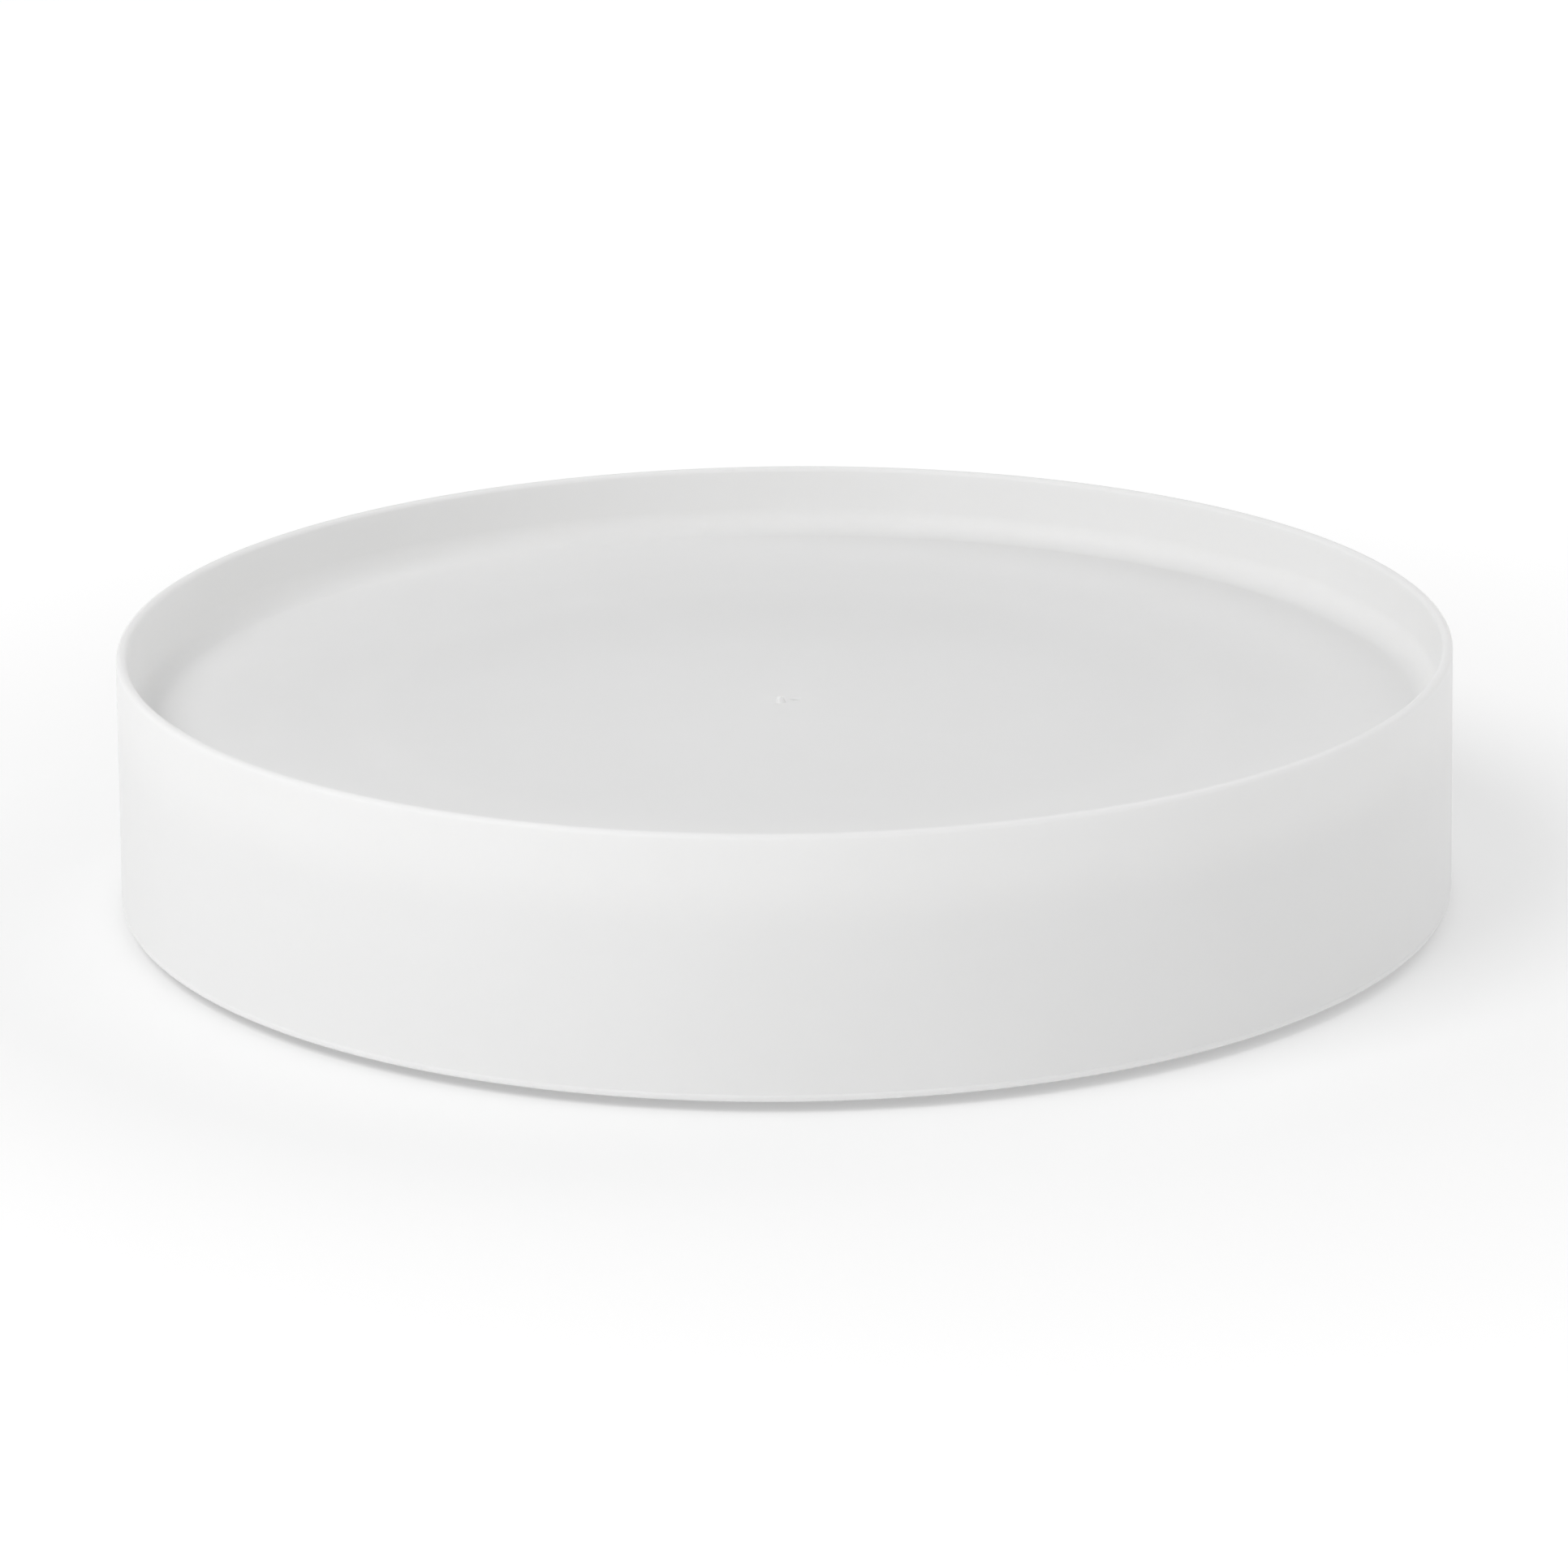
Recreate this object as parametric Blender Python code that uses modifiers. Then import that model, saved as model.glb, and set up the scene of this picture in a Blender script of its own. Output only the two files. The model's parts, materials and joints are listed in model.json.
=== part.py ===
"""Lazy susan turntable: a skirted round tray that turns on a ring of steel balls over a moulded base.

Metres, +Z up. The origin lies on the turning axis, on the surface that the feet stand on.
The tray hides the base: skirt outside, ball race and centre boss underneath. A screw driven into
the boss from below, with a washer, keeps the base from dropping off when the tray is lifted.
"""

import math

import bmesh
import bpy
from mathutils import Matrix, Vector

# ---------------------------------------------------------------- driving dimensions, in metres

# Clearances
SEAT_GAP = 0.0003  # between two pieces that rest on or sit in each other
RUN_GAP = 0.0003  # between two pieces that move past each other
END_PLAY = 0.0003  # how far the base can drop before the washer catches it
OVERLAP = 0.0005  # how far a rib or a post runs into the wall that it grows from

# Tray
TRAY_RADIUS = 0.127  # outside, at the bottom edge of the skirt
TRAY_HEIGHT = 0.048  # skirt's bottom edge to the top of the rim
TABLE_CLEARANCE = 0.002  # table to the skirt's bottom edge
SKIRT_DRAFT = math.radians(1.2)  # the skirt is narrower at the rim
TRAY_WALL = 0.0020
FLOOR_WALL = 0.0022
RECESS_DEPTH = 0.0136  # rim top to floor
COVE_RADIUS = 0.0050  # fillet between the recess wall and the floor
TRAY_RIB_WALL = 0.0016
RIB_SETBACK = 0.0004  # how far a tray rib stays above the face of the upper race
GUSSET_REACH = 0.0110  # how far a gusset runs inwards from the skirt
GUSSET_DROP = 0.0100  # how far a gusset runs down the skirt, from the floor
TRAY_RIBS = 12

# Balls and cage
BALL_COUNT = 16
BALL_RADIUS = 0.003175
GROOVE_LAND = 0.0010  # flat shoulder on each side of a race groove
GROOVE_DROP = 0.0019  # tray floor's underside to the top of the upper groove
GROOVE_WALL = 0.0019  # plastic under the bottom of the lower groove
RACE_OPENING = 0.0032  # between the shoulders of the upper and the lower race
CAGE_REACH = 0.0015  # how far the cage stands out past the races, on both sides

# Base
BASE_CLEARANCE = 0.002  # table to the bottom edge of the base
BASE_INSET = 0.0148  # skirt's inside to the base's bottom lip
BASE_WALL = 0.0020
BASE_LIP_REACH = 0.0030
BASE_LIP_HEIGHT = 0.0024
BASE_DRAFT = math.radians(2.5)
BASE_CORNER = 0.0040  # outer radius where the deck turns down into the wall
BASE_RIB_WALL = 0.0016
BASE_RIB_HEIGHT = 0.0038
BASE_RIBS = 12

# Feet
FOOT_COUNT = 6
FOOT_RADIUS = 0.0060
FOOT_BEVEL = 0.0006
FOOT_SEAT_DEPTH = 0.0020  # how far the seat goes up into the foot cup
FOOT_CUP_WALL = 0.0018
FOOT_CUP_TO_WALL = 0.0014  # between a foot cup and the base's wall
FOOT_CUP_TO_RACE = 0.0014  # between a foot cup and the ball race

# Hub, bush, screw and washer
BOSS_RADIUS = 0.0060
BUSH_WALL = 0.0017
BUSH_FLANGE_REACH = 0.0026
BUSH_FLANGE_WALL = 0.0015
HUB_WALL = 0.0024
SCREW_RADIUS = 0.0019
SCREW_LENGTH = 0.0160  # under the head
SCREW_TIP = 0.0020
HEAD_GRIP = 0.0019  # how far the screw's head covers the washer
HEAD_HEIGHT = 0.0026
HEAD_CLEARANCE = 0.0036  # base's bottom edge to the bottom of the screw's head
WASHER_GRIP = 0.0030  # how far the washer reaches under the bush
WASHER_WALL = 0.0010

# Fineness: the sides of round pieces, and the steps of arcs in their profiles
LARGE_SIDES = 60
CAGE_SIDES = 48
SMALL_SIDES = 20
BALL_SEGMENTS = 12
BALL_RINGS = 8
POCKET_SIDES = 16
COVE_STEPS = 4
RIM_STEPS = 4
GROOVE_STEPS = 4
CORNER_STEPS = 3
BEVEL_STEPS = 2
HEAD_STEPS = 4
MERGE = 0.00001

# ---------------------------------------------------------------- what follows from them

# Tray, from the rim down
SKIRT_BOTTOM = TABLE_CLEARANCE
RIM_TOP = SKIRT_BOTTOM + TRAY_HEIGHT
RIM_ROUND = TRAY_WALL / 2
RIM_CENTRE_Z = RIM_TOP - RIM_ROUND
RIM_RADIUS = TRAY_RADIUS - (RIM_CENTRE_Z - SKIRT_BOTTOM) * math.tan(SKIRT_DRAFT)
RECESS_RADIUS = RIM_RADIUS - TRAY_WALL
FLOOR_TOP = RIM_TOP - RECESS_DEPTH
FLOOR_UNDER = FLOOR_TOP - FLOOR_WALL
SKIRT_INSIDE = TRAY_RADIUS - TRAY_WALL

# Races and balls, from the floor's underside down
BALL_GAP = BALL_RADIUS + RUN_GAP
BALL_Z = FLOOR_UNDER - GROOVE_DROP - BALL_GAP
UPPER_RACE_FACE = BALL_Z + RACE_OPENING / 2
LOWER_RACE_FACE = BALL_Z - RACE_OPENING / 2
DECK_UNDER = BALL_Z - BALL_GAP - GROOVE_WALL
DECK_TOP = DECK_UNDER + BASE_WALL
GROOVE_HALF = math.sqrt(BALL_GAP**2 - (RACE_OPENING / 2) ** 2)
RACE_HALF = GROOVE_HALF + GROOVE_LAND
CAGE_HALF = RACE_OPENING / 2 - RUN_GAP

# Base, from the skirt inwards
BASE_BOTTOM = BASE_CLEARANCE
BASE_RADIUS = SKIRT_INSIDE - BASE_INSET
BASE_FOOT_RADIUS = BASE_RADIUS - BASE_LIP_REACH
BASE_SLOPE = math.tan(BASE_DRAFT)
BASE_SHOULDER = BASE_FOOT_RADIUS - (DECK_TOP - BASE_BOTTOM) * BASE_SLOPE

# Foot cups, just inside the wall, and the race, just inside the cups
SEAT_RADIUS = FOOT_RADIUS + SEAT_GAP
FOOT_CUP_RADIUS = SEAT_RADIUS + FOOT_CUP_WALL
FOOT_CIRCLE = BASE_SHOULDER - BASE_WALL - FOOT_CUP_TO_WALL - FOOT_CUP_RADIUS
FOOT_CORE_RADIUS = FOOT_CUP_RADIUS - FOOT_CUP_WALL
RACE_RADIUS = FOOT_CIRCLE - FOOT_CUP_RADIUS - FOOT_CUP_TO_RACE - RACE_HALF

# Hub stack, from the base's bottom edge up
HEAD_BOTTOM = BASE_BOTTOM + HEAD_CLEARANCE
HEAD_TOP = HEAD_BOTTOM + HEAD_HEIGHT
WASHER_BOTTOM = HEAD_TOP + SEAT_GAP
WASHER_TOP = WASHER_BOTTOM + WASHER_WALL
BOSS_BOTTOM = WASHER_TOP + SEAT_GAP
BUSH_BOTTOM = BOSS_BOTTOM + END_PLAY
BUSH_SHOULDER = BUSH_BOTTOM + BUSH_FLANGE_WALL
HUB_BOTTOM = BUSH_SHOULDER + SEAT_GAP
BUSH_BORE = BOSS_RADIUS + RUN_GAP
BUSH_RADIUS = BUSH_BORE + BUSH_WALL
BUSH_FLANGE_RADIUS = BUSH_RADIUS + BUSH_FLANGE_REACH
HUB_BORE = BUSH_RADIUS + SEAT_GAP
HUB_RADIUS = HUB_BORE + HUB_WALL
WASHER_RADIUS = BUSH_BORE + WASHER_GRIP
SCREW_HOLE = SCREW_RADIUS + SEAT_GAP
HEAD_RADIUS = SCREW_HOLE + HEAD_GRIP
SCREW_TOP = HEAD_TOP + SCREW_LENGTH
HOLE_TOP = SCREW_TOP + SEAT_GAP


# ---------------------------------------------------------------- helpers


def clear_scene():
    for obj in list(bpy.data.objects):
        bpy.data.objects.remove(obj, do_unlink=True)
    for group in list(bpy.data.collections):
        bpy.data.collections.remove(group)


def collection(name):
    group = bpy.data.collections.new(name)
    bpy.context.scene.collection.children.link(group)
    return group


def material(name, colour, roughness, metallic=0.0):
    made = bpy.data.materials.new(name)
    made.use_nodes = True
    shader = made.node_tree.nodes["Principled BSDF"]
    shader.inputs["Base Color"].default_value = (*colour, 1.0)
    shader.inputs["Roughness"].default_value = roughness
    shader.inputs["Metallic"].default_value = metallic
    return made


def arc(centre_r, centre_z, radius, start, end, steps):
    """Points (r, z) on an arc, angles in degrees from +r towards +z, both ends included."""
    points = []
    for step in range(steps + 1):
        angle = math.radians(start + (end - start) * step / steps)
        points.append((centre_r + radius * math.cos(angle), centre_z + radius * math.sin(angle)))
    return points


def groove(face_z, side):
    """A race groove in a flat face, from its outer edge to its inner one. side is +1 where it goes up."""
    start = math.degrees(math.asin((face_z - BALL_Z) / BALL_GAP))
    return arc(RACE_RADIUS, BALL_Z, BALL_GAP, start, side * 180 - start, GROOVE_STEPS)


def place(obj, group, shade=None):
    group.objects.link(obj)
    if shade is not None:
        obj.data.materials.append(shade)
    return obj


def turned(name, profile, sides, group, shade=None, ring=False):
    """A piece turned about its own Z. The profile runs down its outer side; a ring's profile closes."""
    mesh = bpy.data.meshes.new(name)
    points = [(r, 0.0, z) for r, z in profile]
    edges = [(i, i + 1) for i in range(len(points) - 1)]
    if ring:
        edges.append((len(points) - 1, 0))
    mesh.from_pydata(points, edges, [])
    obj = place(bpy.data.objects.new(name, mesh), group, shade)
    turn = obj.modifiers.new("turn", "SCREW")
    turn.axis = "Z"
    turn.angle = math.tau
    turn.steps = sides
    turn.render_steps = sides
    turn.use_merge_vertices = True
    turn.merge_threshold = MERGE
    return obj


def mesh_object(name, shape, group, shade=None):
    mesh = bpy.data.meshes.new(name)
    shape.to_mesh(mesh)
    shape.free()
    return place(bpy.data.objects.new(name, mesh), group, shade)


def add_rib(shape, outline, wall, angle):
    """An upright plate with the outline (r, z), of the given thickness, turned to an angle about Z."""
    corners = [shape.verts.new((r, wall / 2, z)) for r, z in outline]
    face = shape.faces.new(corners)
    grown = bmesh.ops.extrude_face_region(shape, geom=[face])["geom"]
    moved = [part for part in grown if isinstance(part, bmesh.types.BMVert)]
    bmesh.ops.translate(shape, verts=moved, vec=Vector((0.0, -wall, 0.0)))
    turn = Matrix.Rotation(angle, 3, "Z")
    bmesh.ops.rotate(shape, verts=corners + moved, cent=Vector(), matrix=turn)


def add_post(shape, centre, radius, bottom, top, sides):
    """An upright cylinder with its axis through centre (x, y)."""
    middle = Matrix.Translation((centre[0], centre[1], (bottom + top) / 2))
    bmesh.ops.create_cone(
        shape,
        cap_ends=True,
        segments=sides,
        radius1=radius,
        radius2=radius,
        depth=top - bottom,
        matrix=middle,
    )


def finished(shape):
    bmesh.ops.recalc_face_normals(shape, faces=shape.faces)
    return shape


def combine(obj, other, operation):
    step = obj.modifiers.new(f"{operation.lower()} {other.name}", "BOOLEAN")
    step.operation = operation
    step.solver = "EXACT"
    step.object = other
    other.hide_render = True
    other.display_type = "WIRE"


def around(count, radius, first=0.0):
    """The angle and the place of each of a number of pieces on a circle."""
    for number in range(count):
        angle = first + math.tau * number / count
        yield angle, (radius * math.cos(angle), radius * math.sin(angle))


def pivot(name, height, group):
    empty = bpy.data.objects.new(name, None)
    empty.location = (0.0, 0.0, height)
    empty.empty_display_size = 0.02
    group.objects.link(empty)
    return empty


def hang_on(obj, parent):
    obj.parent = parent
    obj.matrix_parent_inverse = Matrix.Translation(-parent.location)


# ---------------------------------------------------------------- pieces


def tray_profile():
    """Half section of the tray: floor, recess wall, rim, skirt, underside, upper race and boss."""
    cove_r = RECESS_RADIUS - COVE_RADIUS
    outer_race = RACE_RADIUS + RACE_HALF
    inner_race = RACE_RADIUS - RACE_HALF
    points = [(0.0, FLOOR_TOP)]
    points += arc(cove_r, FLOOR_TOP + COVE_RADIUS, COVE_RADIUS, -90, 0, COVE_STEPS)
    points += arc(RIM_RADIUS - RIM_ROUND, RIM_CENTRE_Z, RIM_ROUND, 180, 0, RIM_STEPS)
    points += [(TRAY_RADIUS, SKIRT_BOTTOM), (SKIRT_INSIDE, SKIRT_BOTTOM)]
    points += [(RECESS_RADIUS, FLOOR_UNDER)]
    points += [(outer_race, FLOOR_UNDER), (outer_race, UPPER_RACE_FACE)]
    points += groove(UPPER_RACE_FACE, 1)
    points += [(inner_race, UPPER_RACE_FACE), (inner_race, FLOOR_UNDER)]
    points += [(BOSS_RADIUS, FLOOR_UNDER), (BOSS_RADIUS, BOSS_BOTTOM)]
    points += [(SCREW_HOLE, BOSS_BOTTOM), (SCREW_HOLE, HOLE_TOP), (0.0, HOLE_TOP)]
    return points


def make_tray(parts, cutters, shade):
    tray = turned("tray", tray_profile(), LARGE_SIDES, parts, shade)
    root = FLOOR_UNDER + OVERLAP
    low = UPPER_RACE_FACE + RIB_SETBACK
    inner = RACE_RADIUS - RACE_HALF + OVERLAP
    outer = RACE_RADIUS + RACE_HALF - OVERLAP
    boss = BOSS_RADIUS - OVERLAP
    skirt = RECESS_RADIUS + OVERLAP
    gusset = RECESS_RADIUS - GUSSET_REACH
    ribs = bmesh.new()
    for angle, _ in around(TRAY_RIBS, 0.0, math.pi / TRAY_RIBS):
        spoke = [(boss, root), (boss, low), (inner, low), (inner, root)]
        add_rib(ribs, spoke, TRAY_RIB_WALL, angle)
        bracket = [(outer, root), (outer, low), (gusset, low)]
        bracket += [(skirt, FLOOR_UNDER - GUSSET_DROP), (skirt, root)]
        add_rib(ribs, bracket, TRAY_RIB_WALL, angle)
    combine(tray, mesh_object("tray_ribs", finished(ribs), cutters), "UNION")
    return tray


def base_profile():
    """Half section of the base: deck, lower race, outer wall with its lip, and hub."""
    outer_race = RACE_RADIUS + RACE_HALF
    inner_race = RACE_RADIUS - RACE_HALF
    corner_z = DECK_TOP - BASE_CORNER
    inside_corner = BASE_SHOULDER - BASE_WALL
    points = [(HUB_BORE, DECK_TOP)]
    points += [(inner_race, DECK_TOP), (inner_race, LOWER_RACE_FACE)]
    points += reversed(groove(LOWER_RACE_FACE, -1))
    points += [(outer_race, LOWER_RACE_FACE), (outer_race, DECK_TOP)]
    points += arc(BASE_SHOULDER - BASE_CORNER, corner_z, BASE_CORNER, 90, 0, CORNER_STEPS)
    points += [(BASE_FOOT_RADIUS, BASE_BOTTOM + BASE_LIP_HEIGHT)]
    points += [(BASE_RADIUS, BASE_BOTTOM + BASE_LIP_HEIGHT), (BASE_RADIUS, BASE_BOTTOM)]
    points += [(BASE_FOOT_RADIUS - BASE_WALL, BASE_BOTTOM), (inside_corner, DECK_UNDER)]
    points += [(HUB_RADIUS, DECK_UNDER), (HUB_RADIUS, HUB_BOTTOM), (HUB_BORE, HUB_BOTTOM)]
    return points


def make_base(parts, cutters, shade):
    base = turned("base", base_profile(), LARGE_SIDES, parts, shade, ring=True)
    root = DECK_UNDER + OVERLAP
    low = DECK_UNDER - BASE_RIB_HEIGHT
    hub = HUB_RADIUS - OVERLAP
    wall = BASE_SHOULDER - BASE_WALL + OVERLAP
    ribs = bmesh.new()
    for angle, _ in around(BASE_RIBS, 0.0, math.pi / BASE_RIBS):
        spoke = [(hub, root), (hub, low), (wall, low), (wall, root)]
        add_rib(ribs, spoke, BASE_RIB_WALL, angle)
    combine(base, mesh_object("base_ribs", finished(ribs), cutters), "UNION")
    cups = bmesh.new()
    seats = bmesh.new()
    cores = bmesh.new()
    seat_top = BASE_BOTTOM + FOOT_SEAT_DEPTH
    for _, centre in around(FOOT_COUNT, FOOT_CIRCLE):
        add_post(cups, centre, FOOT_CUP_RADIUS, BASE_BOTTOM, root, SMALL_SIDES)
        add_post(seats, centre, SEAT_RADIUS, BASE_BOTTOM - OVERLAP, seat_top, SMALL_SIDES)
        add_post(cores, centre, FOOT_CORE_RADIUS, seat_top + FOOT_CUP_WALL, DECK_TOP + OVERLAP, SMALL_SIDES)
    combine(base, mesh_object("foot_cups", cups, cutters), "UNION")
    combine(base, mesh_object("foot_seats", seats, cutters), "DIFFERENCE")
    combine(base, mesh_object("foot_cores", cores, cutters), "DIFFERENCE")
    return base


def make_feet(parts, shade):
    height = BASE_BOTTOM + FOOT_SEAT_DEPTH - SEAT_GAP
    profile = [(0.0, height), (FOOT_RADIUS, height)]
    profile += arc(FOOT_RADIUS - FOOT_BEVEL, FOOT_BEVEL, FOOT_BEVEL, 0, -90, BEVEL_STEPS)
    profile += [(0.0, 0.0)]
    for number, (_, centre) in enumerate(around(FOOT_COUNT, FOOT_CIRCLE), start=1):
        foot = turned(f"foot_{number}", profile, SMALL_SIDES, parts, shade)
        foot.location = (*centre, 0.0)


def make_hub_bush(parts, shade):
    profile = [(BUSH_BORE, DECK_TOP), (BUSH_RADIUS, DECK_TOP), (BUSH_RADIUS, BUSH_SHOULDER)]
    profile += [(BUSH_FLANGE_RADIUS, BUSH_SHOULDER), (BUSH_FLANGE_RADIUS, BUSH_BOTTOM)]
    profile += [(BUSH_BORE, BUSH_BOTTOM)]
    turned("hub_bush", profile, 2 * SMALL_SIDES, parts, shade, ring=True)


def make_washer(parts, shade):
    profile = [(SCREW_HOLE, WASHER_TOP), (WASHER_RADIUS, WASHER_TOP)]
    profile += [(WASHER_RADIUS, WASHER_BOTTOM), (SCREW_HOLE, WASHER_BOTTOM)]
    return turned("screw_washer", profile, 2 * SMALL_SIDES, parts, shade, ring=True)


def make_screw(parts, shade):
    """Pan-head screw, point up: the domed head hangs below the washer."""
    dome = HEAD_HEIGHT / 2
    profile = [(0.0, SCREW_TOP), (SCREW_RADIUS / 4, SCREW_TOP), (SCREW_RADIUS, SCREW_TOP - SCREW_TIP)]
    profile += [(SCREW_RADIUS, HEAD_TOP), (HEAD_RADIUS, HEAD_TOP)]
    profile += arc(HEAD_RADIUS - dome, HEAD_BOTTOM + dome, dome, 0, -90, HEAD_STEPS)
    profile += [(0.0, HEAD_BOTTOM)]
    return turned("centre_screw", profile, SMALL_SIDES, parts, shade)


def make_cage(parts, cutters, shade):
    """A flat ring with a round pocket for each ball."""
    inner = RACE_RADIUS - RACE_HALF - CAGE_REACH
    outer = RACE_RADIUS + RACE_HALF + CAGE_REACH
    profile = [(inner, CAGE_HALF), (outer, CAGE_HALF), (outer, -CAGE_HALF), (inner, -CAGE_HALF)]
    cage = turned("ball_cage", profile, CAGE_SIDES, parts, shade, ring=True)
    pockets = bmesh.new()
    for _, centre in around(BALL_COUNT, RACE_RADIUS):
        add_post(pockets, centre, BALL_GAP, -BALL_GAP, BALL_GAP, POCKET_SIDES)
    cutter = mesh_object("cage_pockets", pockets, cutters)
    cutter.location = (0.0, 0.0, BALL_Z)
    combine(cage, cutter, "DIFFERENCE")
    return cage


def make_balls(parts, shade, parent):
    shape = bmesh.new()
    bmesh.ops.create_uvsphere(
        shape, u_segments=BALL_SEGMENTS, v_segments=BALL_RINGS, radius=BALL_RADIUS
    )
    mesh = bpy.data.meshes.new("bearing_ball")
    shape.to_mesh(mesh)
    shape.free()
    mesh.materials.append(shade)
    mesh.shade_smooth()
    for number, (angle, centre) in enumerate(around(BALL_COUNT, RACE_RADIUS), start=1):
        ball = place(bpy.data.objects.new(f"bearing_ball_{number:02d}", mesh), parts)
        ball.location = (*centre, BALL_Z)
        ball.rotation_euler = (0.0, 0.0, angle)
        hang_on(ball, parent)


def main():
    clear_scene()
    parts = collection("lazy_susan_turntable")
    cutters = collection("cutters")
    white = material("white_polypropylene", (0.78, 0.78, 0.77), 0.42)
    base_white = material("white_polypropylene_base", (0.74, 0.74, 0.73), 0.48)
    natural = material("natural_nylon", (0.72, 0.69, 0.60), 0.45)
    acetal = material("black_acetal", (0.05, 0.05, 0.05), 0.40)
    steel = material("ball_steel", (0.62, 0.62, 0.64), 0.12, 1.0)
    zinc = material("zinc_plated_steel", (0.66, 0.66, 0.68), 0.30, 1.0)
    rubber = material("grey_rubber", (0.22, 0.22, 0.22), 0.75)

    tray_axis = pivot("tray_axis", 0.0, parts)
    hang_on(make_tray(parts, cutters, white), tray_axis)
    hang_on(make_washer(parts, zinc), tray_axis)
    hang_on(make_screw(parts, zinc), tray_axis)

    make_base(parts, cutters, base_white)
    make_hub_bush(parts, acetal)
    make_feet(parts, rubber)

    cage_axis = pivot("cage_axis", BALL_Z, parts)
    cage = make_cage(parts, cutters, natural)
    cage.parent = cage_axis
    make_balls(parts, steel, cage_axis)


main()
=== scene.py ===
"""Looks of the lazy susan turntable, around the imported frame.

Metres, +Z up, in the frame's own coordinates. Every visible piece is a fine mesh that stands for
its plain CAD node: moulded parts with fillets, drafts, ribs and parting lines, and real fasteners.
"""

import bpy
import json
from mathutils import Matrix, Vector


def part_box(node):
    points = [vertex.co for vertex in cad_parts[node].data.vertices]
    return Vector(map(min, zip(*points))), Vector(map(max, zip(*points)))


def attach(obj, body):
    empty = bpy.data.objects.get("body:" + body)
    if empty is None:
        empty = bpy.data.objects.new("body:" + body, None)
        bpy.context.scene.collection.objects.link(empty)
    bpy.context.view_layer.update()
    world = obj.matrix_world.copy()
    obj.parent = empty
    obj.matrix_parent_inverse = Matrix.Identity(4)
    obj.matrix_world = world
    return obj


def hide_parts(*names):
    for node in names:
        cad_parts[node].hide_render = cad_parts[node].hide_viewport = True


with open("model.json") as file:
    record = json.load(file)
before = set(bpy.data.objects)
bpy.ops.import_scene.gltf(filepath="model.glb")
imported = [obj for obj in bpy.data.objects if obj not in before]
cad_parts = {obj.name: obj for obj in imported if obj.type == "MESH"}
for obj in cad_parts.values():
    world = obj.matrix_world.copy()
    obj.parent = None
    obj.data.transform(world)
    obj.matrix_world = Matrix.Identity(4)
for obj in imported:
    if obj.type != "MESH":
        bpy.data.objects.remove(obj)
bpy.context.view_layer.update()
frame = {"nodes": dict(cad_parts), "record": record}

import json
import math

import bmesh
import bpy
from mathutils import Matrix, Vector

MM = 0.001

# ---------------------------------------------------------------- sizes read from the frame


def node_box(name):
    """A node's lowest z, highest z, and reach along +X."""
    low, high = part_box(name)
    return low.z, high.z, high.x


def mount_height(name):
    for mount in frame["record"]["mounts"]:
        if mount["name"] == name:
            return mount["pos_m"][2]
    raise KeyError(name)


SKIRT_BOTTOM, RIM_TOP, TRAY_RADIUS = node_box("tray")
BASE_BOTTOM, LOWER_RACE_FACE, BASE_RADIUS = node_box("base")
BUSH_BOTTOM, DECK_TOP, BUSH_FLANGE_RADIUS = node_box("hub_bush")
WASHER_BOTTOM, WASHER_TOP, WASHER_RADIUS = node_box("screw_washer")
HEAD_BOTTOM, SCREW_TOP, HEAD_RADIUS = node_box("centre_screw")
CAGE_BOTTOM, CAGE_TOP, CAGE_OUTER = node_box("ball_cage")
BALL_LOW, BALL_HIGH, BALL_REACH = node_box("bearing_ball_01")
FOOT_BOTTOM, FOOT_TOP, FOOT_REACH = node_box("foot_1")
FLOOR_TOP = mount_height("tray_floor")

BALL_RADIUS = (BALL_HIGH - BALL_LOW) / 2
BALL_Z = (BALL_HIGH + BALL_LOW) / 2
RACE_RADIUS = BALL_REACH - BALL_RADIUS
FOOT_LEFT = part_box("foot_1")[0].x
FOOT_RADIUS = (FOOT_REACH - FOOT_LEFT) / 2
FOOT_CIRCLE = (FOOT_REACH + FOOT_LEFT) / 2
BALL_COUNT = sum(name.startswith("bearing_ball_") for name in frame["nodes"])
FOOT_COUNT = sum(name.startswith("foot_") for name in frame["nodes"])

# ---------------------------------------------------------------- sizes the frame doesn't give

GAP = 0.3 * MM  # between neighbouring pieces

# Tray
TRAY_WALL = 2.0 * MM
FLOOR_WALL = 2.2 * MM
RIM_RADIUS = 126.0155 * MM
COVE_RADIUS = 5.0 * MM
TRAY_RIB_WALL = 1.6 * MM
RIB_SETBACK = 0.4 * MM
GUSSET_REACH = 11.0 * MM
GUSSET_DROP = 10.0 * MM
TRAY_RIBS = 12
LEDGE_HEIGHT = 1.45 * MM  # bottom edge to the ledge that the parting line leaves
LEDGE_REACH = 0.18 * MM
LEDGE_AZIMUTH = math.radians(-82)  # where the ledge is proudest
LEDGE_LEAST = 0.25  # how much of it is left on the far side
LEDGE_STEP = 0.30 * MM  # height over which the ledge steps out to the bead
BEAD_CLEAR = 0.01 * MM  # how far the bead stays inside the tray's own radius
GATE_X, GATE_Y, GATE_RADIUS, GATE_HEIGHT = -0.84 * MM, -2.0 * MM, 1.05 * MM, 1.2 * MM
GATE_SLOPE = 0.6 * MM
DENT_X, DENT_Y, DENT_DEPTH = 2.0 * MM, -0.3 * MM, 0.9 * MM
DENT_WIDTH, DENT_LENGTH = 1.0 * MM, 0.75 * MM
DENT_SOFTNESS = 0.45  # share of the dent's radius over which it slopes down
GATE_PATCH = 4.2 * MM  # the gate mark and the dent lie inside this radius
FLOOR_RINGS = (3.6, 4.2, 6, 10, 18, 30, 44, 58, 72, 86, 100, 110)  # mm, outside the fine middle
WALL_SHARES = (0.15, 0.3, 0.45, 0.6, 0.75, 0.9)  # where the skirt's rings lie, rim to ledge
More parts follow.
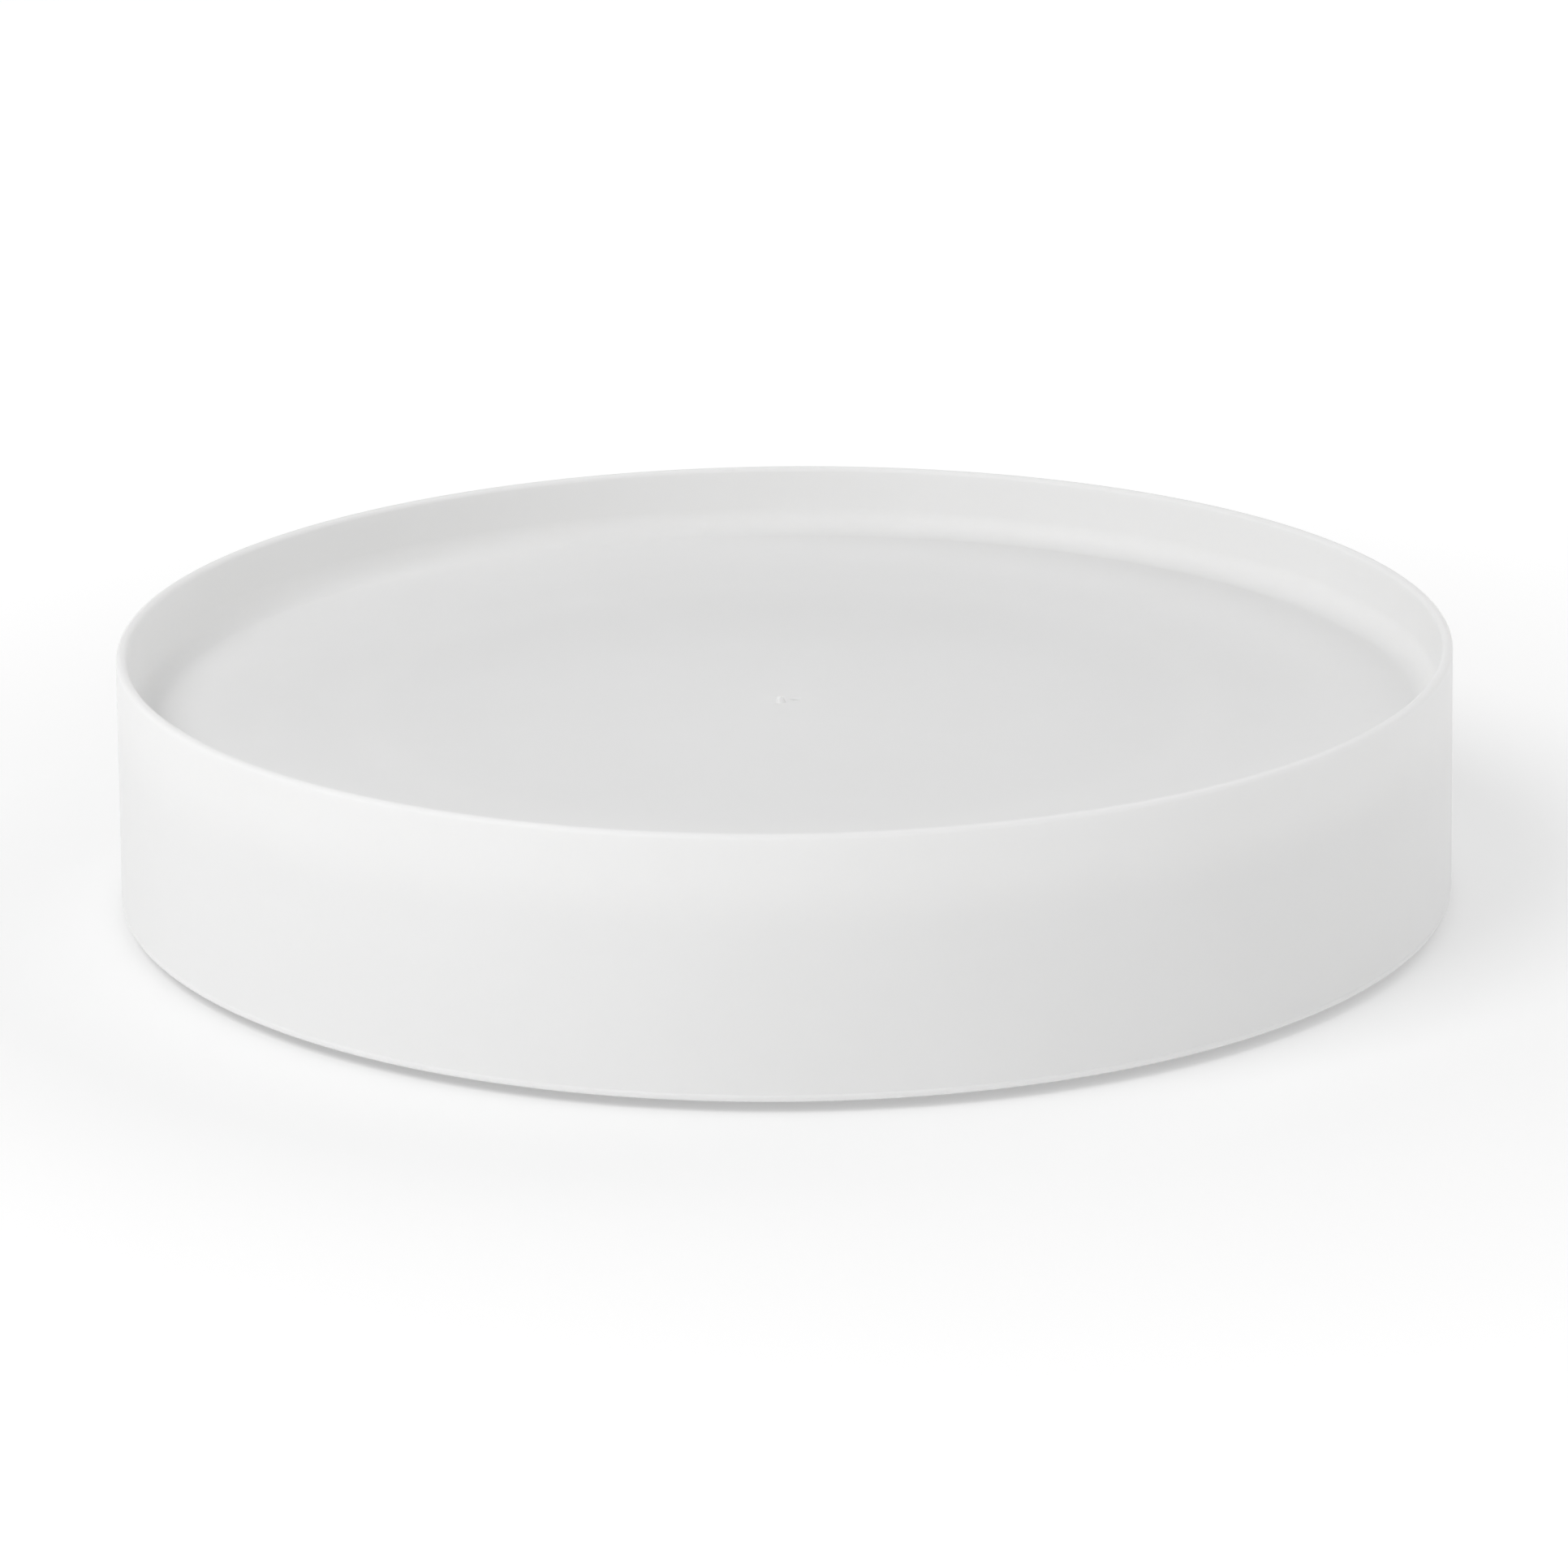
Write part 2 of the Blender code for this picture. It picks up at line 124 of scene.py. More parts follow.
TRAY_PIN_CIRCLES = (40 * MM, 64 * MM, 105 * MM)

# Races and base
GROOVE_RADIUS = BALL_RADIUS + GAP
GROOVE_LAND = 1.0 * MM
BASE_WALL = 2.0 * MM
BASE_LIP_REACH = 3.0 * MM
BASE_LIP_HEIGHT = 2.4 * MM
BASE_DRAFT = math.radians(2.5)
BASE_CORNER = 4.0 * MM
BASE_RIB_WALL = 1.6 * MM
BASE_RIB_HEIGHT = 3.8 * MM
BASE_RIBS = 12
FOOT_SEAT_DEPTH = 2.0 * MM
FOOT_CUP_WALL = 1.8 * MM
FOOT_CUP_CHAMFER = 0.3 * MM
BASE_PIN_CIRCLES = (30 * MM, 62 * MM)

# Both mouldings
RIB_ROOT = 0.6 * MM  # how deep a rib's root goes into the wall that it stands on
GROOVE_EDGE = 0.5 * MM  # flat of a race's face beside its groove
PIN_RADIUS = 2.5 * MM  # ejector pins
PIN_DEPTH = 0.15 * MM

# Feet
FOOT_RINGS = (4.5 * MM, 3.0 * MM, 1.5 * MM)  # grip grooves in the face
FOOT_RING_DEPTH = 0.30 * MM

# Cage
CAGE_RAIL = 1.1 * MM  # width of the raised edges
CAGE_SINK = 0.35 * MM  # how far the middle lies below them
CAGE_SOFT = 0.3 * MM
CAGE_HOLE_RADIUS = 2.2 * MM  # lightening holes between the pockets
POCKET_FLARE = 0.4 * MM

# Hub
BUSH_WALL = 1.7 * MM
BUSH_FLANGE_REACH = 2.6 * MM
BUSH_FLANGE_WALL = 1.5 * MM
HUB_WALL = 2.4 * MM
HEAD_HEIGHT = 2.6 * MM
SCREW_RADIUS = 1.9 * MM
SCREW_CORE = 1.45 * MM
THREAD_PITCH = 1.5 * MM
THREAD_HALF = 0.28  # half of the thread's width, as a share of the pitch
THREAD_FULLNESS = 0.8  # below 1, the crest is rounder
THREAD_START = 0.8 * MM  # plain shank under the head
TIP_LEAST = 0.12  # what is left of the radius at the blunt tip
SCREW_TIP = 2.0 * MM
CROSS_DEPTH = 1.7 * MM  # the cross recess in the head
CROSS_REACH = 2.1 * MM
CROSS_TIP_REACH = 0.9 * MM
CROSS_THICK = 0.36 * MM
CONE_INNER, CONE_OUTER = 0.55 * MM, 1.05 * MM  # its tapered middle

# Studio
SKY_STRENGTH = 3.4
# The sky's brightness by height: 0 is the horizon and 1 is straight up.
SKY_STOPS = ((0.0, 0.05), (0.05, 0.05), (0.12, 0.95), (0.22, 0.02), (0.5, 0.195), (1.0, 0.09))
GLOW_NEAR, GLOW_FAR = 0.36, 0.56  # the floor's own light by the turntable and away from it
GLOW_START, GLOW_END = 0.16, 0.40  # metres from the axis
FLOOR_RADIUS = 12.0
BOX_DISTANCE, BOX_SIZE = 1.6, 0.9  # softboxes, in metres
# The camera was fitted to the outlines in the photograph. Its angles are in radians.
LENS = 135.2  # mm
SENSOR = 36.0  # mm
CAMERA_DISTANCE = 8.91432 * RIM_RADIUS
CAMERA_ELEVATION = 0.299134
CAMERA_TILT, CAMERA_SWING, CAMERA_ROLL = -0.00555594, 0.00027961, -0.01004585

# Fineness
LARGE_SIDES = 288
SMALL_SIDES = 96
FOOT_SIDES = 72
PIN_SIDES = 40
POCKET_SIDES = 64
THREAD_SIDES = 64
CONE_SIDES = 32
THREAD_LEVELS = 14  # rings for each turn of the thread
SHARP = math.radians(38)
FILLET_MOST = 0.8  # share of the shorter edge that a fillet may take up

# ---------------------------------------------------------------- sizes that follow

RECESS_RADIUS = RIM_RADIUS - TRAY_WALL
FLOOR_UNDER = FLOOR_TOP - FLOOR_WALL
SKIRT_INSIDE = TRAY_RADIUS - TRAY_WALL
UPPER_RACE_FACE = 2 * BALL_Z - LOWER_RACE_FACE
GROOVE_HALF = math.sqrt(GROOVE_RADIUS**2 - (BALL_Z - LOWER_RACE_FACE) ** 2)
OUTER_RACE = RACE_RADIUS + GROOVE_HALF + GROOVE_LAND
INNER_RACE = RACE_RADIUS - GROOVE_HALF - GROOVE_LAND
DECK_UNDER = DECK_TOP - BASE_WALL
BASE_FOOT_RADIUS = BASE_RADIUS - BASE_LIP_REACH
BASE_SHOULDER = BASE_FOOT_RADIUS - (DECK_TOP - BASE_BOTTOM) * math.tan(BASE_DRAFT)
SEAT_RADIUS = FOOT_RADIUS + GAP
FOOT_CUP_RADIUS = SEAT_RADIUS + FOOT_CUP_WALL
BUSH_SHOULDER = BUSH_BOTTOM + BUSH_FLANGE_WALL
BUSH_RADIUS = BUSH_FLANGE_RADIUS - BUSH_FLANGE_REACH
BUSH_BORE = BUSH_RADIUS - BUSH_WALL
BOSS_RADIUS = BUSH_BORE - GAP
BOSS_BOTTOM = WASHER_TOP + GAP
HUB_BOTTOM = BUSH_SHOULDER + GAP
HUB_BORE = BUSH_RADIUS + GAP
HUB_RADIUS = HUB_BORE + HUB_WALL
SCREW_HOLE = SCREW_RADIUS + GAP
HOLE_TOP = SCREW_TOP + GAP
HEAD_TOP = HEAD_BOTTOM + HEAD_HEIGHT

# ---------------------------------------------------------------- mesh helpers


def arc(centre_r, centre_z, radius, start, end, steps):
    """Points (r, z) on an arc, angles in degrees from +r towards +z, both ends included."""
    points = []
    for step in range(steps + 1):
        angle = math.radians(start + (end - start) * step / steps)
        points.append((centre_r + radius * math.cos(angle), centre_z + radius * math.sin(angle)))
    return points


def filleted(corners, closed=False, steps=5):
    """A profile through corners (r, z, fillet), with each fillet drawn as an arc.

    An open profile's two ends stay as they are, whatever fillet they are given.
    """
    count = len(corners)
    points = []
    for index, (r, z, fillet) in enumerate(corners):
        here = Vector((r, z))
        is_end = not closed and index in (0, count - 1)
        if fillet == 0 or is_end:
            points.append((r, z))
            continue
        before = Vector(corners[index - 1][:2]) - here
        after = Vector(corners[(index + 1) % count][:2]) - here
        reach = min(before.length, after.length)
        before.normalize()
        after.normalize()
        half = before.angle(after) / 2
        cut = min(fillet / math.tan(half), reach * FILLET_MOST)
        radius = cut * math.tan(half)
        middle = here + (before + after).normalized() * (radius / math.sin(half))
        first = here + before * cut - middle
        last = here + after * cut - middle
        sweep = first.angle_signed(last)
        for step in range(steps + 1):
            turned_by = Matrix.Rotation(-sweep * step / steps, 2)
            points.append(tuple(middle + turned_by @ first))
    return points


def link(obj):
    bpy.context.scene.collection.objects.link(obj)
    return obj


def mesh_piece(name, shape):
    """An object from a bmesh, which is freed."""
    mesh = bpy.data.meshes.new(name)
    shape.to_mesh(mesh)
    shape.free()
    return link(bpy.data.objects.new(name, mesh))


def turned_shape(profile, sides, closed=False):
    """The surface made by turning a profile (r, z) about Z. Points at r = 0 make a pole."""
    shape = bmesh.new()
    rings = []
    for r, z in profile:
        if r < 1e-7:
            rings.append([shape.verts.new((0, 0, z))])
            continue
        ring = []
        for side in range(sides):
            angle = math.tau * side / sides
            ring.append(shape.verts.new((r * math.cos(angle), r * math.sin(angle), z)))
        rings.append(ring)
    pairs = list(zip(rings, rings[1:]))
    if closed:
        pairs.append((rings[-1], rings[0]))
    for upper, lower in pairs:
        for side in range(sides):
            following = (side + 1) % sides
            corners = [upper[side % len(upper)], lower[side % len(lower)]]
            if len(lower) > 1:
                corners.append(lower[following])
            if len(upper) > 1:
                corners.append(upper[following])
            if len(corners) > 2:
                shape.faces.new(corners)
    bmesh.ops.recalc_face_normals(shape, faces=shape.faces)
    return shape


def turned(name, profile, sides, closed=False):
    return mesh_piece(name, turned_shape(profile, sides, closed))


def add_rib(shape, outline, free, wall, angle, fillet=0.35 * MM):
    """An upright plate with outline (r, z), its free edges rounded, turned to an angle about Z.

    free holds the numbers of the outline's corners whose edge to the next corner stands free.
    """
    near = [shape.verts.new((r, wall / 2, z)) for r, z in outline]
    far = [shape.verts.new((r, -wall / 2, z)) for r, z in outline]
    count = len(outline)
    made = near + far
    shape.faces.new(near)
    shape.faces.new(list(reversed(far)))
    rounded = []
    for index in range(count):
        following = (index + 1) % count
        shape.faces.new([near[following], near[index], far[index], far[following]])
        if index in free:
            rounded.append(shape.edges.get((near[index], near[following])))
            rounded.append(shape.edges.get((far[index], far[following])))
    result = bmesh.ops.bevel(
        shape, geom=rounded, offset=fillet, segments=3, profile=0.5, affect="EDGES"
    )
    made = {v for v in made if v.is_valid} | set(result["verts"])
    bmesh.ops.rotate(shape, verts=list(made), cent=Vector(), matrix=Matrix.Rotation(angle, 3, "Z"))


def add_turned(shape, profile, sides, centre):
    """Adds a turned solid with its axis through centre (x, y)."""
    part = turned_shape(profile, sides)
    bmesh.ops.translate(part, verts=part.verts, vec=Vector((*centre, 0.0)))
    mesh = bpy.data.meshes.new("part")
    part.to_mesh(mesh)
    part.free()
    shape.from_mesh(mesh)
    bpy.data.meshes.remove(mesh)


def post(radius, bottom, top, flare=0.0):
    """Profile of an upright pin, wider by flare at both ends over the same height."""
    if not flare:
        return [(0, top), (radius, top), (radius, bottom), (0, bottom)]
    ends = [(radius + flare, top), (radius, top - flare)]
    ends += [(radius, bottom + flare), (radius + flare, bottom)]
    return [(0, top), *ends, (0, bottom)]


def combine(obj, other, operation):
    """Joins or cuts obj with other, which is removed."""
    step = obj.modifiers.new(operation.lower(), "BOOLEAN")
    step.operation = operation
    step.solver = "EXACT"
    step.object = other
    settle(obj)
    bpy.data.objects.remove(other, do_unlink=True)


def settle(obj):
    """Puts the result of the modifiers into the mesh itself."""
    seen = bpy.context.evaluated_depsgraph_get()
    mesh = bpy.data.meshes.new_from_object(obj.evaluated_get(seen))
    obj.modifiers.clear()
    obj.data = mesh


def around(count, radius, first=0.0):
    """The angle and the place of each of a number of pieces on a circle."""
    for number in range(count):
        angle = first + math.tau * number / count
        yield angle, (radius * math.cos(angle), radius * math.sin(angle))


def finish_piece(obj, material, slot, body, *nodes):
    """Smooth shading with true edges, a material, and the piece's place in the frame."""
    if not obj.data.polygons:
        raise ValueError(f"{obj.name} has no faces")
    obj.data.shade_smooth()
    obj.data.set_sharp_from_angle(angle=SHARP)
    even = obj.modifiers.new("weighted normals", "WEIGHTED_NORMAL")
    even.keep_sharp = True
    settle(obj)
    obj.data.materials.clear()
    obj.data.materials.append(material)
    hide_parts(*nodes)
    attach(obj, body)


# ---------------------------------------------------------------- materials


class Shade:
    """A node material under construction: one Principled shader, fed from object coordinates."""

    def __init__(self, name):
        self.material = bpy.data.materials.new(name)
        self.material.use_nodes = True
        self.tree = self.material.node_tree
        self.shader = self.tree.nodes["Principled BSDF"]
        self.place = self.tree.nodes.new("ShaderNodeTexCoord").outputs["Object"]

    def constant(self, **values):
        """Sets sockets of the shader, named with _ for each space."""
        for name, value in values.items():
            self.shader.inputs[name.replace("_", " ")].default_value = value

    def feed(self, name, output):
        self.tree.links.new(output, self.shader.inputs[name])

    def node(self, kind, inputs=None, **settings):
        made = self.tree.nodes.new(kind)
        for name, value in settings.items():
            setattr(made, name, value)
        for name, value in (inputs or {}).items():
            socket = made.inputs[name]
            if isinstance(value, bpy.types.NodeSocket):
                self.tree.links.new(value, socket)
            else:
                socket.default_value = value
        return made

    def noise(self, grain, detail=3.0, stretch=(1, 1, 1), roughness=0.5):
        """Noise whose features are about grain metres across."""
        where = self.place
        if stretch != (1, 1, 1):
            where = self.node("ShaderNodeMapping", {"Vector": where, "Scale": stretch}).outputs[0]
        inputs = {"Vector": where, "Scale": 1 / grain, "Detail": detail, "Roughness": roughness}
        return self.node("ShaderNodeTexNoise", inputs).outputs[0]

    def between(self, factor, low, high, start=0.3, end=0.7):
        """A number that runs from low to high as the factor runs from start to end."""
        inputs = {"Value": factor, "From Min": start, "From Max": end}
        inputs |= {"To Min": low, "To Max": high}
        return self.node("ShaderNodeMapRange", inputs).outputs[0]

    def mix(self, factor, first, second):
        made = self.node("ShaderNodeMix", data_type="RGBA")
        sockets = [socket for socket in made.inputs if socket.enabled]
        self.tree.links.new(factor, sockets[0])
        for socket, value in zip(sockets[1:], (first, second)):
            if isinstance(value, bpy.types.NodeSocket):
                self.tree.links.new(value, socket)
            else:
                socket.default_value = (*value, 1.0)
        return next(socket for socket in made.outputs if socket.enabled)

    def bump(self, height, depth, strength=1.0, under=None):
        """A bump whose height of 1 stands depth metres proud."""
        inputs = {"Height": height, "Distance": depth, "Strength": strength}
        if under is not None:
            inputs["Normal"] = under
        return self.node("ShaderNodeBump", inputs).outputs[0]


def moulded_plastic(name, light, dark, gloss, grain_depth, through):
    """Moulded plastic: faint colour drift, uneven gloss, spark-eroded grain and orange peel."""
    shade = Shade(name)
    drift = shade.between(shade.noise(38 * MM, 2.0), 0.0, 1.0)
    shade.feed("Base Color", shade.mix(drift, light, dark))
    cloud = shade.noise(9 * MM, 4.0)
    shade.feed("Roughness", shade.between(cloud, *gloss))
    peel = shade.bump(shade.noise(4.5 * MM, 1.0), 0.030 * MM)
    grain = shade.bump(shade.noise(0.32 * MM, 2.0, roughness=0.6), grain_depth, under=peel)
    shade.feed("Normal", grain)
    shade.constant(IOR=1.49, Subsurface_Weight=through, Subsurface_Scale=4.0 * MM)
    shade.constant(Subsurface_Radius=(1.0, 0.98, 0.95), Specular_IOR_Level=0.38)
    return shade.material


def tray_plastic():
    return moulded_plastic(
        "white polypropylene",
        light=(0.80, 0.80, 0.798),
        dark=(0.79, 0.79, 0.787),
        gloss=(0.54, 0.64),
        grain_depth=0.006 * MM,
        through=0.40,
    )


def base_plastic():
    return moulded_plastic(
        "base polypropylene",
        light=(0.76, 0.76, 0.755),
        dark=(0.74, 0.74, 0.735),
        gloss=(0.42, 0.54),
        grain_depth=0.010 * MM,
        through=0.10,
    )


def cage_plastic():
    return moulded_plastic(
        "natural nylon",
        light=(0.74, 0.71, 0.62),
        dark=(0.70, 0.67, 0.57),
        gloss=(0.38, 0.50),
        grain_depth=0.008 * MM,
        through=0.20,
    )


def bush_plastic():
    """Black acetal: a little waxy, with a fine moulded grain."""
    shade = Shade("black acetal")
    drift = shade.between(shade.noise(3 * MM, 3.0), 0.0, 1.0)
    shade.feed("Base Color", shade.mix(drift, (0.035, 0.035, 0.037), (0.050, 0.050, 0.051)))
    shade.feed("Roughness", shade.between(shade.noise(1.5 * MM, 4.0), 0.28, 0.42))
    shade.feed("Normal", shade.bump(shade.noise(0.25 * MM, 2.0), 0.006 * MM))
    shade.constant(IOR=1.48)
    return shade.material


def ball_steel():
    """Polished chrome steel with a film of grease and hair-fine rolling marks."""
    shade = Shade("polished ball steel")
    film = shade.noise(1.4 * MM, 4.0)
    shade.feed("Base Color", shade.mix(film, (0.64, 0.64, 0.66), (0.56, 0.56, 0.58)))
    shade.feed("Roughness", shade.between(film, 0.05, 0.16))
    marks = shade.noise(0.5 * MM, 5.0, stretch=(0.15, 1.0, 6.0))
    shade.feed("Normal", shade.bump(marks, 0.001 * MM))
    shade.constant(Metallic=1.0)
    return shade.material


def zinc_steel():
    """Bright zinc plate: pale blue-grey, crystalline sparkle, and dull handling marks."""
    shade = Shade("bright zinc plate")
    spangle = shade.node(
        "ShaderNodeTexVoronoi", {"Vector": shade.place, "Scale": 1 / (0.5 * MM)}
    ).outputs["Distance"]
    cloud = shade.noise(2.2 * MM, 4.0)
    shade.feed("Base Color", shade.mix(cloud, (0.66, 0.67, 0.70), (0.52, 0.53, 0.55)))
    shade.feed("Roughness", shade.between(cloud, 0.22, 0.42))
    brushed = shade.bump(shade.noise(0.12 * MM, 3.0), 0.003 * MM)
    shade.feed("Normal", shade.bump(spangle, 0.002 * MM, under=brushed))
    shade.constant(Metallic=1.0)
    return shade.material


def foot_rubber():
    """Matt grey rubber with a dusty bloom."""
    shade = Shade("grey rubber")
    bloom = shade.between(shade.noise(2.5 * MM, 4.0), 0.0, 1.0)
    shade.feed("Base Color", shade.mix(bloom, (0.055, 0.055, 0.056), (0.085, 0.084, 0.082)))
    shade.feed("Roughness", shade.between(shade.noise(0.8 * MM, 3.0), 0.72, 0.90))
    shade.feed("Normal", shade.bump(shade.noise(0.2 * MM, 3.0), 0.015 * MM))
    shade.constant(IOR=1.52)
    return shade.material


# ---------------------------------------------------------------- pieces


def groove(face_z, side, steps=14):
    """A race groove in a flat face, from outer edge to inner. side is +1 where it goes up."""
    start = math.degrees(math.asin((face_z - BALL_Z) / GROOVE_RADIUS))
    return arc(RACE_RADIUS, BALL_Z, GROOVE_RADIUS, start, side * 180 - start, steps)


def ramp_up(value):
    """Smooth step from 0 to 1."""
    value = min(1.0, max(0.0, value))
    return value * value * (3 - 2 * value)


def steps_between(first, last, step):
    count = round((last - first) / step)
    return [first + (last - first) * number / count for number in range(count)]


def tray_top():
    """Half section of the tray's top: floor, cove and rim, from the axis outwards."""
    # The floor's rings lie closest together where the gate mark is.
    rings = steps_between(0.0, 1.2 * MM, 0.2 * MM) + steps_between(1.2 * MM, 3.6 * MM, 0.08 * MM)
    rings += [r * MM for r in FLOOR_RINGS]
    points = [(r, FLOOR_TOP) for r in rings]
    cove_r = RECESS_RADIUS - COVE_RADIUS
    points += arc(cove_r, FLOOR_TOP + COVE_RADIUS, COVE_RADIUS, -90, 0, 18)
    rim_round = TRAY_WALL / 2
    points += arc(RIM_RADIUS - rim_round, RIM_TOP - rim_round, rim_round, 180, 0, 20)
    return points


def tray_skirt():
    """Half section of the skirt with its ledge and bead, and the underside up to the race."""
    rim_round = TRAY_WALL / 2
    ledge_top = SKIRT_BOTTOM + LEDGE_HEIGHT
    points = []
    for share in WALL_SHARES:
        wall_z = RIM_TOP - rim_round + share * (ledge_top - RIM_TOP + rim_round)
        points.append((wall_radius(wall_z), wall_z))
    bead = TRAY_RADIUS - BEAD_CLEAR
    points += filleted(
        [
            (wall_radius(ledge_top + 0.6 * MM), ledge_top + 0.6 * MM, 0),
            (wall_radius(ledge_top), ledge_top, 0.15 * MM),
            (bead, ledge_top - LEDGE_STEP, 0.12 * MM),
            (bead, SKIRT_BOTTOM, 0.95 * MM),
            (SKIRT_INSIDE, SKIRT_BOTTOM, 0.4 * MM),
            (RECESS_RADIUS, FLOOR_UNDER, 1.0 * MM),
            (OUTER_RACE, FLOOR_UNDER, 0.5 * MM),
            (OUTER_RACE, UPPER_RACE_FACE, 0.25 * MM),
            (OUTER_RACE - GROOVE_EDGE, UPPER_RACE_FACE, 0),
        ],
        steps=6,
    )
    return points


def tray_boss():
    """Half section of the underside from the race's groove inwards, with the boss and its hole."""
    return filleted(
        [
            (INNER_RACE + GROOVE_EDGE, UPPER_RACE_FACE, 0),
            (INNER_RACE, UPPER_RACE_FACE, 0.25 * MM),
            (INNER_RACE, FLOOR_UNDER, 0.5 * MM),
            (BOSS_RADIUS, FLOOR_UNDER, 1.0 * MM),
            (BOSS_RADIUS, BOSS_BOTTOM, 0.3 * MM),
            (SCREW_HOLE, BOSS_BOTTOM, 0.2 * MM),
            (SCREW_HOLE, HOLE_TOP, 0.2 * MM),
            (0.0, HOLE_TOP, 0),
        ]
    )


def tray_profile():
    return tray_top() + tray_skirt() + groove(UPPER_RACE_FACE, 1) + tray_boss()


def wall_radius(z):
    """Outside of the skirt at a height, between the rim and the ledge over the bottom bead."""
    top = RIM_TOP - TRAY_WALL / 2
    low = SKIRT_BOTTOM + LEDGE_HEIGHT
    foot = TRAY_RADIUS - LEDGE_REACH
    return foot + (RIM_RADIUS - foot) * (z - low) / (top - low)


def gate_lift(x, y):
    """Height over the floor at the gate mark: a cut-off nub near the middle, a dent beside it."""
    nub = GATE_HEIGHT * ramp_up((GATE_RADIUS - math.hypot(x - GATE_X, y - GATE_Y)) / GATE_SLOPE)
    across, along = (x - DENT_X) / DENT_WIDTH, (y - DENT_Y) / DENT_LENGTH
    return nub - DENT_DEPTH * ramp_up((1 - math.hypot(across, along)) / DENT_SOFTNESS)


def shape_tray_marks(mesh):
    """Raises the gate mark, and lets the ledge over the bottom bead fade out towards the back."""
    for vert in mesh.vertices:
        x, y, z = vert.co
        radius = math.hypot(x, y)
        if radius < GATE_PATCH and abs(z - FLOOR_TOP) < 0.001 * MM:
            vert.co.z += gate_lift(x, y)
        proud = radius - wall_radius(z)
        if proud > 0 and SKIRT_BOTTOM < z < SKIRT_BOTTOM + LEDGE_HEIGHT:
            facing = (1 + math.cos(math.atan2(y, x) - LEDGE_AZIMUTH)) / 2
            kept = LEDGE_LEAST + (1 - LEDGE_LEAST) * facing**4
            scale = (radius - proud * (1 - kept)) / radius
            vert.co.x, vert.co.y = x * scale, y * scale


def pin_marks(circles, count, face_z):
    """Cutter for the shallow rounds that ejector pins leave in a moulding's underside."""
    marks = bmesh.new()
    for radius in circles:
        for _, centre in around(count, radius):
            pin = post(PIN_RADIUS, face_z - MM, face_z + PIN_DEPTH)
            add_turned(marks, pin, PIN_SIDES, centre)
    return mesh_piece("pin_marks", marks)


def make_tray(material):
    tray = turned("tray_moulding", tray_profile(), LARGE_SIDES)
    shape_tray_marks(tray.data)
    root = FLOOR_UNDER + RIB_ROOT
    low = UPPER_RACE_FACE + RIB_SETBACK
    gusset = RECESS_RADIUS - GUSSET_REACH
    ribs = bmesh.new()
    for angle, _ in around(TRAY_RIBS, 0.0, math.pi / TRAY_RIBS):
        spoke = [(BOSS_RADIUS - RIB_ROOT, low), (INNER_RACE + RIB_ROOT, low)]
        spoke += [(INNER_RACE + RIB_ROOT, root), (BOSS_RADIUS - RIB_ROOT, root)]
        add_rib(ribs, spoke, {0}, TRAY_RIB_WALL, angle)
        bracket = [(OUTER_RACE - RIB_ROOT, low), (gusset, low)]
        bracket += [(RECESS_RADIUS + RIB_ROOT, FLOOR_UNDER - GUSSET_DROP)]
        bracket += [(RECESS_RADIUS + RIB_ROOT, root), (OUTER_RACE - RIB_ROOT, root)]
        add_rib(ribs, bracket, {0, 1}, TRAY_RIB_WALL, angle)
    bmesh.ops.recalc_face_normals(ribs, faces=ribs.faces)
    combine(tray, mesh_piece("tray_ribs", ribs), "UNION")
    combine(tray, pin_marks(TRAY_PIN_CIRCLES, TRAY_RIBS, FLOOR_UNDER), "DIFFERENCE")
    finish_piece(tray, material, "tray_plastic", "tray", "tray")


def base_profile():
    """Half section of the base: hub, deck, lower race, outer wall and its lip."""
    inside_shoulder = BASE_SHOULDER - BASE_WALL
    lip_top = BASE_BOTTOM + BASE_LIP_HEIGHT
    points = filleted(
        [
            (HUB_BORE, (DECK_TOP + HUB_BOTTOM) / 2, 0),
            (HUB_BORE, DECK_TOP, 0.25 * MM),
            (INNER_RACE, DECK_TOP, 0.5 * MM),
            (INNER_RACE, LOWER_RACE_FACE, 0.25 * MM),
            (INNER_RACE + GROOVE_EDGE, LOWER_RACE_FACE, 0),
        ]
    )
    points += list(reversed(groove(LOWER_RACE_FACE, -1)))
    points += filleted(
        [
            (OUTER_RACE - GROOVE_EDGE, LOWER_RACE_FACE, 0),
            (OUTER_RACE, LOWER_RACE_FACE, 0.25 * MM),
            (OUTER_RACE, DECK_TOP, 0.5 * MM),
            (BASE_SHOULDER, DECK_TOP, BASE_CORNER),
            (BASE_FOOT_RADIUS, lip_top, 0.6 * MM),
            (BASE_RADIUS, lip_top, 0.5 * MM),
            (BASE_RADIUS, BASE_BOTTOM, 0.5 * MM),
            (BASE_FOOT_RADIUS - BASE_WALL, BASE_BOTTOM, 0.5 * MM),
            (inside_shoulder, DECK_UNDER, 2.0 * MM),
            (HUB_RADIUS, DECK_UNDER, 1.0 * MM),
            (HUB_RADIUS, HUB_BOTTOM, 0.4 * MM),
            (HUB_BORE, HUB_BOTTOM, 0.25 * MM),
            (HUB_BORE, (DECK_TOP + HUB_BOTTOM) / 2, 0),
        ],
        steps=6,
    )
    return points[:-1]


def foot_cup(root):
    """Outside of the cup that a foot sits in, as a solid pin from the deck down."""
    corners = [(0, root, 0), (FOOT_CUP_RADIUS, root, 0)]
    corners += [(FOOT_CUP_RADIUS, BASE_BOTTOM, 0.4 * MM), (0, BASE_BOTTOM, 0)]
    return filleted(corners)


